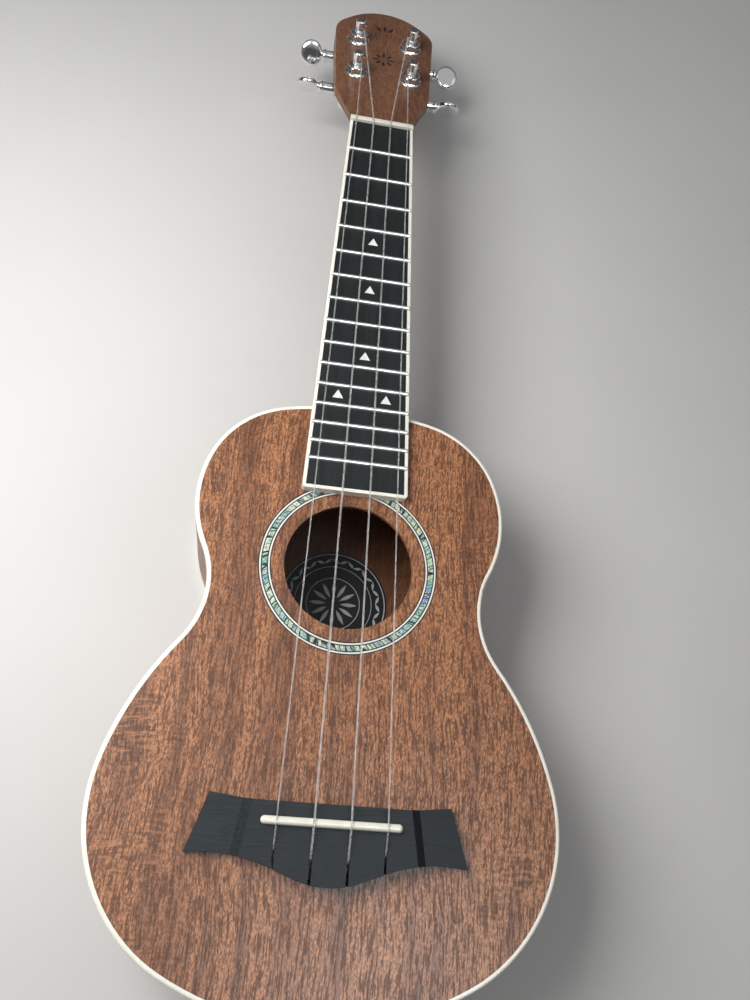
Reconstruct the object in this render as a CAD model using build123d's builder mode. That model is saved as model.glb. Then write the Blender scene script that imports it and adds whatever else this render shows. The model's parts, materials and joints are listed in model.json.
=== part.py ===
from build123d import *
import math
import os

# A soprano ukulele, in millimetres. The origin is on the outer face of the back, on the
# centreline, under the saddle. +Y runs along the strings to the headstock, +Z out of the
# soundboard, +X to the player's right of the strings as the face is seen.

# Strings and scale
SCALE = 346.0
COMPENSATION = 3.0
FRET_COUNT = 15
NUT_Y = SCALE + COMPENSATION
NUT_SPACING = 9.15
SADDLE_SPACING = 13.6
STRINGS = (("g", -1.5, 0.61), ("c", -0.5, 0.86), ("e", 0.5, 0.81), ("a", 1.5, 0.61))

# Body
BODY_DEPTH = 58.0
BODY_TOP_Y = 178.0
# Radius and turn in degrees of each arc of the right half, from the neck end towards the
# tail. The negative turn is the waist. A last arc, centred on the centreline, closes it.
BODY_ARCS = ((150, 12.5), (43, 54), (53, 50), (38, -64), (127, 23), (63, 77))
TOP_THICK = 2.0
BACK_THICK = 2.0
SIDE_THICK = 1.8
BINDING_DEEP = 3.5
BINDING_ROUND = 1.0
LINING_WIDE = 4.5
LINING_DEEP = 8.0
HOLE_Y = 102.0
HOLE_R = 27.1
ROSETTE_R = 37.8
ROSETTE_DEEP = 0.8
# Colour and width of each ring, from the outside in.
ROSETTE_RINGS = (
    ("black", 0.5),
    ("white", 0.6),
    ("black", 0.5),
    ("abalone", 2.1),
    ("black", 0.5),
    ("white", 0.6),
    ("black", 0.5),
)
LABEL_R = 26.0
LABEL_THICK = 0.2
BLOCK_DEEP = 18.0
NECK_BLOCK_WIDE = 48.0
TAIL_BLOCK_WIDE = 40.0
TOP_BRACE_Y = (146.0, 60.0)
BACK_BRACE_Y = (56.0, -14.0)
BRACE_WIDE = 7.0
TOP_BRACE_DEEP = 9.0
BACK_BRACE_DEEP = 8.0
PATCH_WIDE = 112.0
PATCH_LONG = 34.0
PATCH_Y = -6.0
PATCH_THICK = 2.0
DOWEL_R = 4.0
DOWEL_LONG = 24.0
DOWEL_Z = (14.0, 36.0)

# Fretboard
BOARD_THICK = 4.0
NUT_WIDE = 33.7
BOARD_END_WIDE = 46.0
BOARD_END_Y = 134.2
BOARD_BINDING = 1.5
BOARD_CORNER_R = 1.5
FRET_R = 1.0
FRET_OVERHANG = 0.8
TANG_END_GAP = 0.02
TANG_WIDE = 0.5
TANG_DEEP = 1.5
MARKER_SIDE = 5.0
MARKER_DEEP = 0.8
# Fret above each marker, and the marker's distance from the centreline.
MARKERS = ((5, 0.0), (7, 0.0), (10, 0.0), (12, -11.0), (12, 11.0))
NUT_DEEP = 3.5
NUT_CREST_Y = NUT_Y + 0.9
NUT_PROUD = 0.1
NUT_FALL = 0.7
GROOVE_GAP = 0.03
STRING_Z_NUT = BODY_DEPTH + BOARD_THICK + 1.55

# Neck and headstock
NECK_TOP = BODY_DEPTH
NUT_BACK_Y = NUT_Y + NUT_DEEP
# Distance along the strings, flat side height and depth of each neck section.
NECK_SECTIONS = ((NUT_BACK_Y, 3.0, 11.6), (328.0, 2.5, 14.5), (170.0, 2.5, 17.0))
# Height, half width and reach beyond the body of each heel section.
HEEL_SECTIONS = ((0.0, 11.0, 9.0), (15.0, 12.5, 12.0), (30.0, 16.5, 20.0), (42.5, 21.5, 40.0))
HEAD_TILT = 10.0
HEAD_RISE = 1.0
HEAD_THICK = 12.0
HEADPLATE_THICK = 1.5
HEAD_LONG = 115.0
# Lower corners of the headstock's right half: across, along, rounding radius.
HEAD_CORNERS = ((16.9, 6.0, 22.0), (26.2, 28.0, 9.0))
# The headstock's flanks are bevelled below: depth of the bevel's upper edge, its fall per
# unit inwards, how far before the flank's first corner it starts, and its section's reach
# outwards and inwards.
HEAD_BEVEL_DEPTH = 4.5
HEAD_BEVEL_FALL = 0.88
HEAD_BEVEL_LEAD = 2.0
HEAD_BEVEL_REACH = (5.0, 12.0)
# The headstock's block follows the shaft's round back this far past the nut.
HEAD_BLEND = 4.0
# Radius and turn of each arc of the crown, from its tip.
CROWN_ARCS = ((26, 38), (60, 12), (17, 42.5))

# Bridge and saddle
BRIDGE_HIGH = 7.0
WING_HIGH = 4.2
# The slope of a wing's top would fall to this height at BRIDGE_TIP_X from the step.
WING_END_HIGH = 2.4
# Radius and turn of the rear edge's belly and coves, with a straight flank between.
BRIDGE_BELLY = (32.0, 20.0)
BRIDGE_FLANK = 11.0
BRIDGE_COVE = (64.0, -28.0)
BRIDGE_FRONT = ((29.3, 6.8), (45.4, 8.6))
BRIDGE_REAR_Y = -21.3
BRIDGE_TIP_X = 52.0
WING_X = 30.6
WING_SLANT = 8.7
WING_SLOPE = 3.4
SADDLE_LONG = 52.2
SADDLE_WIDE = 3.0
SADDLE_DEEP = 4.0
SADDLE_HIGH = 9.6
SADDLE_ROUND = 1.4
SLOT_Y = (-9.5, -12.3)
SLOT_BEND = 0.4
SLOT_GAP = 0.15
KNOT_BACK = 2.2
KNOT_R = 1.3
KNOT_BORE_R = 1.6
KNOT_Z = BODY_DEPTH + 2.7
TAIL_LONG = 4.5

# Tuners: string, side, distance along the headstock, button's rest angle
POST_X = 15.5
TUNERS = (
    ("g", -1, 47.5, -52.0),
    ("c", -1, 81.3, 70.0),
    ("e", 1, 81.3, 25.0),
    ("a", 1, 47.5, -58.0),
)
WASHER_R = 6.5
WASHER_THICK = 0.8
HEX_ACROSS = 9.5
HEX_HIGH = 3.2
BUSHING_R = 3.6
POST_R = 2.5
RUNNING = 0.05
SEAT_GAP = 0.2
END_GAP = 0.1
WAIST_R = 2.0
# Heights above the bushing between which the post narrows to its waist.
POST_TAPER = (0.1, 0.5)
CAP_R = 2.8
CAP_FLARE = (7.2, 7.6)
CAP_BEVEL = 0.5
POST_HIGH = 11.3
STRING_HOLE_R = 0.6
STRING_HOLE_H = 8.4
STRING_END = (-5.6, 4.2)
STRING_END_SHARE = 0.9
WRAP_H = 6.7
WRAP_TURNS = 2
WRAP_PITCH = 0.85
WRAP_WEB = 0.7
GEAR_MODULE = 0.5
GEAR_TEETH = 16
GEAR_THICK = 2.6
TIP_SHARE = 0.9
ROOT_SHARE = 1.3
WORM_PITCH_R = 2.5
GEAR_PRESSURE = 20.0
TOOTH_SHARE = 0.38
THREAD_SHARE = 0.35
WORM_H = -16.9
WORM_OFFSET = GEAR_MODULE * GEAR_TEETH / 2 + WORM_PITCH_R
THREAD_LONG = 8.8
THREAD_TURNS_BEFORE = 3
THREAD_SUNK = 0.15
SHAFT_R = 1.5
HOUSING_WALL = 1.2
HOUSING_HALF_X = 7.5
HOUSING_S = (-6.0, 11.0)
HOUSING_H = (-21.5, -HEAD_THICK)
HOUSING_ROUND = 2.5
HOUSING_BEVEL = 1.0
INNER_BEARING = 1.8
SLEEVE_R = 3.2
SLEEVE_END = 17.0
LUG_LONG = 5.5
LUG_WIDE = 5.0
LUG_THICK = 1.2
LUG_ROOT = 1.0
SCREW_R = 0.9
SCREW_HEAD_R = 1.9
SCREW_HEAD_HIGH = 1.1
SCREW_LONG = 6.0
COLLAR_R = 3.6
COLLAR = (17.3, 20.2)
COLLAR_LAP = 0.5
BUTTON_LONG = 13.0
BUTTON_WIDE = 15.0
BUTTON_THICK = 4.4
BUTTON_ROUND = 2.0
SHAFT_END = 26.0

# Lengths that only have to be long or far enough
BEYOND = 400.0
OVERCUT = 0.5
MATCH = 0.01

os.makedirs("parts", exist_ok=True)


def save(part, name):
    part.label = name
    export_step(part, f"parts/{name}.step")


# Body plan and places

def body_outline(inset):
    """The body's plan, with its edge moved inwards by inset."""
    with BuildSketch() as plan:
        with BuildLine():
            start = Vector(0, BODY_TOP_Y - inset)
            heading = Vector(1, 0)
            for radius, turn in BODY_ARCS:
                shrink = math.copysign(inset, turn)
                arc = JernArc(start, heading, radius - shrink, -turn)
                start = arc @ 1
                heading = arc % 1
            turned = sum(turn for _, turn in BODY_ARCS)
            tail_radius = start.X / math.sin(math.radians(turned))
            JernArc(start, heading, tail_radius, turned - 180)
            mirror(about=Plane.YZ)
        make_face()
    return plan.sketch


def fret_y(number):
    return NUT_Y - SCALE * (1 - 2 ** (-number / 12))


def board_wide(y):
    """Width of the bound fretboard, and of the neck under it."""
    slope = (BOARD_END_WIDE - NUT_WIDE) / (NUT_Y - BOARD_END_Y)
    return NUT_WIDE + slope * (NUT_Y - y)


full_plan = body_outline(0)
inside_plan = body_outline(SIDE_THICK)
lined_plan = body_outline(SIDE_THICK + LINING_WIDE)
lining_top = BODY_DEPTH - TOP_THICK
rosette_wide = sum(wide for _, wide in ROSETTE_RINGS)

# Soundboard and its rosette

with BuildPart() as soundboard:
    with BuildSketch(Plane.XY.offset(lining_top)):
        add(inside_plan)
        with Locations((0, HOLE_Y)):
            Circle(HOLE_R, mode=Mode.SUBTRACT)
    extrude(amount=TOP_THICK)
    with BuildSketch(Plane.XY.offset(BODY_DEPTH)):
        with Locations((0, HOLE_Y)):
            Circle(ROSETTE_R)
            Circle(ROSETTE_R - rosette_wide, mode=Mode.SUBTRACT)
    extrude(amount=-ROSETTE_DEEP, mode=Mode.SUBTRACT)
save(soundboard.part, "soundboard")

for colour in ("black", "white", "abalone"):
    with BuildPart() as rosette:
        outer = ROSETTE_R
        for ring_colour, wide in ROSETTE_RINGS:
            if ring_colour == colour:
                with BuildSketch(Plane.XY.offset(BODY_DEPTH)):
                    with Locations((0, HOLE_Y)):
                        Circle(outer)
                        Circle(outer - wide, mode=Mode.SUBTRACT)
                extrude(amount=-ROSETTE_DEEP)
            outer -= wide
    save(rosette.part, f"rosette_{colour}")

# Bindings: square strips let into the corners, their outer edge rounded

with BuildPart() as top_binding:
    with BuildSketch(Plane.XY.offset(BODY_DEPTH)):
        add(full_plan)
        add(inside_plan, mode=Mode.SUBTRACT)
    extrude(amount=-BINDING_DEEP)
    fillet(top_binding.faces().sort_by(Axis.Z)[-1].outer_wire().edges(), BINDING_ROUND)
save(top_binding.part, "top_binding")

with BuildPart() as back_binding:
    with BuildSketch():
        add(full_plan)
        add(inside_plan, mode=Mode.SUBTRACT)
    extrude(amount=BINDING_DEEP)
    fillet(back_binding.faces().sort_by(Axis.Z)[0].outer_wire().edges(), BINDING_ROUND)
save(back_binding.part, "back_binding")

# Dowels that hold the heel to the neck block

dowel_start = BODY_TOP_Y - BLOCK_DEEP
with BuildPart() as neck_dowels:
    with BuildSketch(Plane.XZ.offset(-dowel_start)):
        with Locations(*[(0, z) for z in DOWEL_Z]):
            Circle(DOWEL_R)
    extrude(amount=-DOWEL_LONG)
save(neck_dowels.part, "neck_dowels")

# Bent sides, one for each half

for name, side in (("side_left", -1), ("side_right", 1)):
    with BuildPart() as bent_side:
        with BuildSketch(Plane.XY.offset(BINDING_DEEP)):
            add(full_plan)
            add(inside_plan, mode=Mode.SUBTRACT)
            with Locations((side * BEYOND / 2, 0)):
                Rectangle(BEYOND, 2 * BEYOND, mode=Mode.INTERSECT)
        extrude(amount=BODY_DEPTH - 2 * BINDING_DEEP)
        add(neck_dowels.part, mode=Mode.SUBTRACT)
    save(bent_side.part, name)

# Back plate and label

with BuildPart() as back_plate:
    with BuildSketch():
        add(inside_plan)
    extrude(amount=BACK_THICK)
save(back_plate.part, "back_plate")

with BuildPart() as sound_hole_label:
    with BuildSketch(Plane.XY.offset(BACK_THICK)):
        with Locations((0, HOLE_Y)):
            Circle(LABEL_R)
    extrude(amount=LABEL_THICK)
save(sound_hole_label.part, "sound_hole_label")

# End blocks, shaped to the inside of the sides

def end_block(y_low, y_high, wide):
    """Plan of a block between two distances along the body, trimmed to the sides."""
    with BuildSketch() as plan:
        add(inside_plan)
        with Locations((0, (y_low + y_high) / 2)):
            Rectangle(wide, y_high - y_low, mode=Mode.INTERSECT)
    return plan.sketch


tail_y = full_plan.bounding_box().min.Y
neck_block_plan = end_block(BODY_TOP_Y - BLOCK_DEEP, BODY_TOP_Y, NECK_BLOCK_WIDE)
tail_block_plan = end_block(tail_y, tail_y + BLOCK_DEEP, TAIL_BLOCK_WIDE)

with BuildPart() as neck_block:
    with BuildSketch(Plane.XY.offset(BACK_THICK)):
        add(neck_block_plan)
    extrude(amount=lining_top - BACK_THICK)
    add(neck_dowels.part, mode=Mode.SUBTRACT)
save(neck_block.part, "neck_block")

with BuildPart() as tail_block:
    with BuildSketch(Plane.XY.offset(BACK_THICK)):
        add(tail_block_plan)
    extrude(amount=lining_top - BACK_THICK)
save(tail_block.part, "tail_block")

# Linings between the blocks

for name, z, rise in (
    ("top_lining", lining_top, -LINING_DEEP),
    ("back_lining", BACK_THICK, LINING_DEEP),
):
    with BuildPart() as lining:
        with BuildSketch(Plane.XY.offset(z)):
            add(inside_plan)
            add(lined_plan, mode=Mode.SUBTRACT)
            add(neck_block_plan, mode=Mode.SUBTRACT)
            add(tail_block_plan, mode=Mode.SUBTRACT)
        extrude(amount=rise)
    save(lining.part, name)

# Braces and bridge patch

for name, z, rise, places in (
    ("top_braces", lining_top, -TOP_BRACE_DEEP, TOP_BRACE_Y),
    ("back_braces", BACK_THICK, BACK_BRACE_DEEP, BACK_BRACE_Y),
):
    with BuildPart() as braces:
        for y in places:
            with BuildSketch(Plane.XY.offset(z)):
                add(lined_plan)
                with Locations((0, y)):
                    Rectangle(BEYOND, BRACE_WIDE, mode=Mode.INTERSECT)
            extrude(amount=rise)
    save(braces.part, name)

with BuildPart() as bridge_patch:
    with BuildSketch(Plane.XY.offset(lining_top)):
        with Locations((0, PATCH_Y)):
            Rectangle(PATCH_WIDE, PATCH_LONG)
    extrude(amount=-PATCH_THICK)
save(bridge_patch.part, "bridge_patch")

# Headstock frame: x across, s along the face from the back of the nut, h out of the face

tilt = math.radians(HEAD_TILT)
head_along = Vector(0, math.cos(tilt), -math.sin(tilt))
head_normal = Vector(0, math.sin(tilt), math.cos(tilt))
head_origin = Vector(0, NUT_BACK_Y, NECK_TOP + HEAD_RISE)


def head_point(x, s, h):
    return head_origin + Vector(x, 0, 0) + head_along * s + head_normal * h


def face_plane(x, s, h):
    """Plane parallel to the headstock's face."""
    return Plane(origin=head_point(x, s, h), x_dir=(1, 0, 0), z_dir=head_normal)


def cross_plane(x, s, h):
    """Plane square to X, with s and h as its own axes."""
    return Plane(origin=head_point(x, s, h), x_dir=head_along, z_dir=(1, 0, 0))


with BuildSketch() as head_plan:
    with BuildLine():
        start = Vector(0, HEAD_LONG)
        heading = Vector(1, 0)
        for radius, turn in CROWN_ARCS:
            arc = JernArc(start, heading, radius, -turn)
            start = arc @ 1
            heading = arc % 1
        corners = [(x, s) for x, s, _ in reversed(HEAD_CORNERS)]
        Polyline(start, *corners, (HEAD_CORNERS[0][0], 0), (0, 0))
        mirror(about=Plane.YZ)
    make_face()
    for _, s, rounding in HEAD_CORNERS:
        corners = head_plan.vertices().filter_by_position(Axis.Y, s - MATCH, s + MATCH)
        fillet(corners, rounding)

# Headstock's block, bevelled under its flanks and trimmed to the shaft beside the nut

def neck_section(y, side_high, deep):
    """Section of the shaft: straight flanks over a half ellipse."""
    half = board_wide(y) / 2
    low = NECK_TOP - side_high
    with BuildSketch(Plane.XZ.offset(-y)) as section:
        with BuildLine():
            Polyline((-half, low), (-half, NECK_TOP), (half, NECK_TOP), (half, low))
            EllipticalCenterArc((0, low), half, deep - side_high, start_angle=180, arc_size=180)
        make_face()
    return section


neck_sections = [neck_section(*section) for section in NECK_SECTIONS]

with BuildPart() as head_block:
    with BuildSketch(face_plane(0, 0, -HEADPLATE_THICK)):
        add(head_plan.sketch)
    extrude(amount=HEADPLATE_THICK - HEAD_THICK)
    (near_x, near_s, _), (far_x, far_s, _) = HEAD_CORNERS
    for side in (-1, 1):
        flank = Vector(side * (far_x - near_x), 0, 0) + head_along * (far_s - near_s)
        flank = flank.normalized()
        outward = flank.cross(head_normal) * side
        start = head_point(side * near_x, near_s, 0) - flank * HEAD_BEVEL_LEAD
        out, back = HEAD_BEVEL_REACH
        low = HEAD_BEVEL_DEPTH + HEAD_BEVEL_FALL * back
        with BuildSketch(Plane(origin=start, x_dir=outward, z_dir=flank * side)):
            with BuildLine():
                Polyline(
                    (out, HEAD_BEVEL_DEPTH - HEAD_BEVEL_FALL * out),
                    (out, low),
                    (-back, low),
                    close=True,
                )
            make_face()
        extrude(amount=side * HEAD_LONG, mode=Mode.SUBTRACT)
    with BuildSketch(Plane.XZ.offset(-NUT_BACK_Y)):
        Rectangle(BEYOND, BEYOND)
        add(neck_sections[0].sketch_local, mode=Mode.SUBTRACT)
    extrude(amount=HEAD_BLEND, both=True, mode=Mode.SUBTRACT)

# Neck: shaft, headstock and heel in one piece

with BuildPart() as neck:
    loft([section.sketch for section in neck_sections], ruled=True)
    for z, half, reach in HEEL_SECTIONS:
        with BuildSketch(Plane.XY.offset(z)):
            with Locations((0, BODY_TOP_Y)):
                Ellipse(half, reach)
    loft()
    add(head_block.part)
    with BuildSketch(face_plane(0, 0, -HEADPLATE_THICK)):
        with Locations(*[(side * POST_X, s) for _, side, s, _ in TUNERS]):
            Circle(BUSHING_R)
    extrude(amount=-HEAD_THICK, mode=Mode.SUBTRACT)
    with BuildSketch(face_plane(0, 0, -HEAD_THICK)):
        lug_s = HOUSING_S[0] - LUG_LONG / 2
        with Locations(*[(side * POST_X, s + lug_s) for _, side, s, _ in TUNERS]):
            Circle(SCREW_R)
    extrude(amount=SCREW_LONG, mode=Mode.SUBTRACT)
    with BuildSketch():
        add(full_plan)
    extrude(amount=BODY_DEPTH, mode=Mode.SUBTRACT)
    add(neck_dowels.part, mode=Mode.SUBTRACT)
save(neck.part, "neck")

with BuildPart() as headplate:
    with BuildSketch(face_plane(0, 0, 0)):
        add(head_plan.sketch)
    extrude(amount=-HEADPLATE_THICK)
    with BuildSketch(face_plane(0, 0, 0)):
        with Locations(*[(side * POST_X, s) for _, side, s, _ in TUNERS]):
            Circle(BUSHING_R)
    extrude(amount=-HEADPLATE_THICK, mode=Mode.SUBTRACT)
    split(bisect_by=Plane.XZ.offset(-NUT_BACK_Y), keep=Keep.BOTTOM)
save(headplate.part, "headplate")

# Fretboard, its binding, frets and markers

def board_plan(inset):
    """Tapered plan of the fretboard, its sides and body end moved inwards by inset."""
    end = BOARD_END_Y + inset
    near = board_wide(NUT_Y) / 2 - inset
    far = board_wide(end) / 2 - inset
    with BuildSketch() as plan:
        with BuildLine():
            Polyline((-near, NUT_Y), (near, NUT_Y), (far, end), (-far, end), close=True)
        make_face()
        if inset == 0:
            fillet(plan.vertices().group_by(Axis.Y)[0], BOARD_CORNER_R)
    return plan.sketch


board_top = NECK_TOP + BOARD_THICK
core_plan = board_plan(BOARD_BINDING)
outer_plan = board_plan(0)

with BuildPart() as frets:
    for number in range(1, FRET_COUNT + 1):
        y = fret_y(number)
        tang_half = board_wide(y) / 2 - BOARD_BINDING - TANG_END_GAP
        with BuildSketch(Plane.YZ):
            with BuildLine():
                crown = CenterArc((y, board_top), FRET_R, 0, 180)
                Line(crown @ 1, crown @ 0)
            make_face()
        extrude(amount=tang_half + FRET_OVERHANG, both=True)
        with BuildSketch(Plane.YZ):
            with Locations((y, board_top)):
                Rectangle(TANG_WIDE, TANG_DEEP, align=(Align.CENTER, Align.MAX))
        extrude(amount=tang_half, both=True)
save(frets.part, "frets")

with BuildPart() as fret_markers:
    with BuildSketch(Plane.XY.offset(board_top)):
        for number, x in MARKERS:
            with Locations((x, (fret_y(number - 1) + fret_y(number)) / 2)):
                Triangle(c=MARKER_SIDE, a=MARKER_SIDE, b=MARKER_SIDE)
    extrude(amount=-MARKER_DEEP)
save(fret_markers.part, "fret_markers")

with BuildPart() as fretboard:
    with BuildSketch(Plane.XY.offset(NECK_TOP)):
        add(core_plan)
    extrude(amount=BOARD_THICK)
    for number in range(1, FRET_COUNT + 1):
        with BuildSketch(Plane.XY.offset(board_top)):
            with Locations((0, fret_y(number))):
                Rectangle(BOARD_END_WIDE, TANG_WIDE)
        extrude(amount=-TANG_DEEP, mode=Mode.SUBTRACT)
    add(fret_markers.part, mode=Mode.SUBTRACT)
save(fretboard.part, "fretboard")

with BuildPart() as fretboard_binding:
    with BuildSketch(Plane.XY.offset(NECK_TOP)):
        add(outer_plan)
        add(core_plan, mode=Mode.SUBTRACT)
    extrude(amount=BOARD_THICK)
save(fretboard_binding.part, "fretboard_binding")

# String routes: tail, knot in the bridge slot, saddle, nut, side of the tuner's post

posts = {name: (side, side * POST_X, s) for name, side, s, _ in TUNERS}


def string_route(name, place, gauge):
    """The string's centreline as a list of points, and its end's tangent point on the post."""
    r = gauge / 2
    nut_x = place * NUT_SPACING
    saddle_x = place * SADDLE_SPACING
    slot_y = SLOT_Y[0] if abs(place) > 1 else SLOT_Y[1]
    side, post_x, post_s = posts[name]
    nut_point = Vector(nut_x, NUT_CREST_Y, STRING_Z_NUT)
    from_origin = nut_point - head_origin
    nut_s = from_origin.dot(head_along)
    across, along = post_x - nut_x, post_s - nut_s
    distance = math.hypot(across, along)
    ring = WAIST_R + r + RUNNING
    angle = math.atan2(along, across) + side * math.asin(ring / distance)
    reach = math.sqrt(distance**2 - ring**2)
    touch = head_point(nut_x + reach * math.cos(angle), nut_s + reach * math.sin(angle), WRAP_H)
    knot_y = slot_y - KNOT_BACK
    return [
        Vector(saddle_x, knot_y - TAIL_LONG, KNOT_Z),
        Vector(saddle_x, knot_y, KNOT_Z),
        Vector(saddle_x, slot_y + SLOT_BEND, BODY_DEPTH + BRIDGE_HIGH),
        Vector(saddle_x, 0, BODY_DEPTH + SADDLE_HIGH + r),
        nut_point,
        touch,
    ]


routes = {name: string_route(name, place, gauge) for name, place, gauge in STRINGS}
for name, place, gauge in STRINGS:
    with BuildPart() as string:
        points = routes[name]
        for first, last in zip(points, points[1:]):
            run = last - first
            with BuildSketch(Plane(origin=first, z_dir=run)):
                Circle(gauge / 2)
            extrude(amount=run.length)
        for bend in points[1:-1]:
            with Locations(bend):
                Sphere(gauge / 2)
        with Locations(points[1]):
            Sphere(KNOT_R)
    save(string.part, f"string_{name}")

# Nut, its top sloped down behind, with a groove for each string

with BuildPart() as nut:
    with BuildSketch(Plane.YZ):
        with BuildLine():
            Polyline(
                (NUT_Y, NECK_TOP),
                (NUT_BACK_Y, NECK_TOP),
                (NUT_BACK_Y, STRING_Z_NUT - NUT_FALL),
                (NUT_CREST_Y, STRING_Z_NUT + NUT_PROUD),
                (NUT_Y, STRING_Z_NUT + NUT_PROUD),
                close=True,
            )
        make_face()
    extrude(amount=NUT_WIDE / 2, both=True)
    for name, place, gauge in STRINGS:
        points = routes[name]
        for first, last in zip(points[3:], points[4:]):
            with BuildSketch(Plane(origin=first, z_dir=last - first)):
                Circle(gauge / 2 + GROOVE_GAP)
            extrude(amount=(last - first).length, mode=Mode.SUBTRACT)
        with Locations(points[4]):
            Sphere(gauge / 2 + 2 * GROOVE_GAP, mode=Mode.SUBTRACT)
save(nut.part, "nut")

# Bridge: raised middle, lower wings, saddle slot, string slots and knot bores

with BuildSketch() as bridge_plan:
    with BuildLine():
        belly = JernArc((0, BRIDGE_REAR_Y), (1, 0), *BRIDGE_BELLY)
        flank = Line(belly @ 1, belly @ 1 + (belly % 1) * BRIDGE_FLANK)
        cove = JernArc(flank @ 1, flank % 1, *BRIDGE_COVE)
        Polyline(cove @ 1, BRIDGE_FRONT[1], BRIDGE_FRONT[0], (0, BRIDGE_FRONT[0][1]))
        mirror(about=Plane.YZ)
    make_face()

with BuildPart() as bridge:
    with BuildSketch(Plane.XY.offset(BODY_DEPTH)):
        add(bridge_plan.sketch)
    extrude(amount=BRIDGE_HIGH)
    for side in (-1, 1):
        slant = math.radians(WING_SLANT)
        with BuildSketch(
            Plane(
                origin=(side * WING_X, 0, BODY_DEPTH),
                x_dir=(side * math.cos(slant), math.sin(slant), 0),
                z_dir=(math.sin(slant), -side * math.cos(slant), 0),
            )
        ):
            with BuildLine():
                Polyline(
                    (-OVERCUT, BRIDGE_HIGH + OVERCUT),
                    (0, BRIDGE_HIGH),
                    (WING_SLOPE, WING_HIGH),
                    (BRIDGE_TIP_X, WING_END_HIGH),
                    (BRIDGE_TIP_X, BRIDGE_HIGH + OVERCUT),
                    close=True,
                )
            make_face()
        extrude(amount=BRIDGE_TIP_X, both=True, mode=Mode.SUBTRACT)
    with BuildSketch(Plane.XY.offset(BODY_DEPTH + BRIDGE_HIGH)):
        SlotOverall(SADDLE_LONG, SADDLE_WIDE)
    extrude(amount=-SADDLE_DEEP, mode=Mode.SUBTRACT)
    for name, place, gauge in STRINGS:
        knot = routes[name][1]
        entry = routes[name][2]
        slot_end = entry.Y + gauge / 2 + SLOT_GAP
        slot_long = slot_end - BRIDGE_REAR_Y + OVERCUT
        with BuildSketch(Plane.XY.offset(BODY_DEPTH + BRIDGE_HIGH)):
            with Locations((entry.X, slot_end)):
                Rectangle(gauge + 2 * SLOT_GAP, slot_long, align=(Align.CENTER, Align.MAX))
        extrude(amount=KNOT_Z - BODY_DEPTH - BRIDGE_HIGH, mode=Mode.SUBTRACT)
        with BuildSketch(Plane.XZ.offset(-(knot.Y + KNOT_BORE_R))):
            with Locations((knot.X, knot.Z)):
                Circle(KNOT_BORE_R)
        extrude(amount=-2 * BRIDGE_REAR_Y, mode=Mode.SUBTRACT)
save(bridge.part, "bridge")

with BuildPart() as saddle:
    with BuildSketch(Plane.XY.offset(BODY_DEPTH + BRIDGE_HIGH - SADDLE_DEEP)):
        SlotOverall(SADDLE_LONG, SADDLE_WIDE)
    extrude(amount=SADDLE_HIGH - BRIDGE_HIGH + SADDLE_DEEP)
    fillet(saddle.faces().sort_by(Axis.Z)[-1].edges(), SADDLE_ROUND)
save(saddle.part, "saddle")

# Tuner fittings on the headstock: washers, threaded bushings and fixing screws

with BuildPart() as tuner_washers:
    for _, side, s, _ in TUNERS:
        with BuildSketch(face_plane(side * POST_X, s, 0)):
            Circle(WASHER_R)
            Circle(BUSHING_R, mode=Mode.SUBTRACT)
        extrude(amount=WASHER_THICK)
save(tuner_washers.part, "tuner_washers")

hex_top = WASHER_THICK + HEX_HIGH
with BuildPart() as tuner_bushings:
    for _, side, s, _ in TUNERS:
        with BuildSketch(face_plane(side * POST_X, s, WASHER_THICK)):
            RegularPolygon(HEX_ACROSS / 2, 6, major_radius=False)
            Circle(POST_R + RUNNING, mode=Mode.SUBTRACT)
        extrude(amount=HEX_HIGH)
        with BuildSketch(face_plane(side * POST_X, s, WASHER_THICK)):
            Circle(BUSHING_R)
            Circle(POST_R + RUNNING, mode=Mode.SUBTRACT)
        extrude(amount=-(WASHER_THICK + HEAD_THICK + HOUSING_WALL))
save(tuner_bushings.part, "tuner_bushings")

with BuildPart() as tuner_screws:
    for _, side, s, _ in TUNERS:
        with BuildSketch(face_plane(side * POST_X, s + lug_s, SCREW_LONG - HEAD_THICK)):
            Circle(SCREW_R)
        extrude(amount=-(SCREW_LONG + LUG_THICK))
        with BuildSketch(face_plane(side * POST_X, s + lug_s, -HEAD_THICK - LUG_THICK)):
            Circle(SCREW_HEAD_R)
        extrude(amount=-SCREW_HEAD_HIGH)
save(tuner_screws.part, "tuner_screws")

# Gear tooth sizes

gear_pitch_r = GEAR_MODULE * GEAR_TEETH / 2
tooth_pitch = math.pi * GEAR_MODULE
flank_slope = math.tan(math.radians(GEAR_PRESSURE))
lead_angle = math.atan(tooth_pitch / (2 * math.pi * WORM_PITCH_R))
tip_rise = TIP_SHARE * GEAR_MODULE
root_fall = ROOT_SHARE * GEAR_MODULE
worm_core_r = WORM_PITCH_R - root_fall


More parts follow.
